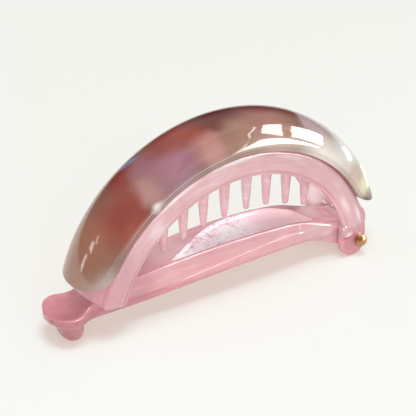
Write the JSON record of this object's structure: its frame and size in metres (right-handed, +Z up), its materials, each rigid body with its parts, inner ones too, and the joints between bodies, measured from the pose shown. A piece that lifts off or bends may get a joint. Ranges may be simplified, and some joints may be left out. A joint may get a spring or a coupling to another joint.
{
  "type": "banana hair clip",
  "caption": "Arched banana hair clip: pegged upper jaw with a domed marbled cover, riveted to a straight lower jaw with a finger tab.",
  "frame": {"origin": "under the middle of the clip's length and width, on the floor that it stands on", "axes": "+X along the clip from the finger tab to the hinge, +Y across its width, +Z up"},
  "size_m": [0.1101, 0.024, 0.0547],
  "materials": {
    "pink_plastic": "translucent pink, moulded and glossy",
    "marbled_plastic": "marbled brown, lilac and cream, polished",
    "copper_metal": "polished copper-coloured rivet"
  },
  "bodies": {
    "lower": {"lower_jaw": "pink_plastic", "hinge_pin": "copper_metal"},
    "upper": {"upper_jaw": "pink_plastic", "cover": "marbled_plastic"}
  },
  "joints": [
    {"name": "jaw_hinge", "type": "hinge", "parent": "lower", "child": "upper", "pos_m": [0.0465, 0, 0.0051], "axis": [0, 1, 0], "range_deg": [0, 65]}
  ]
}
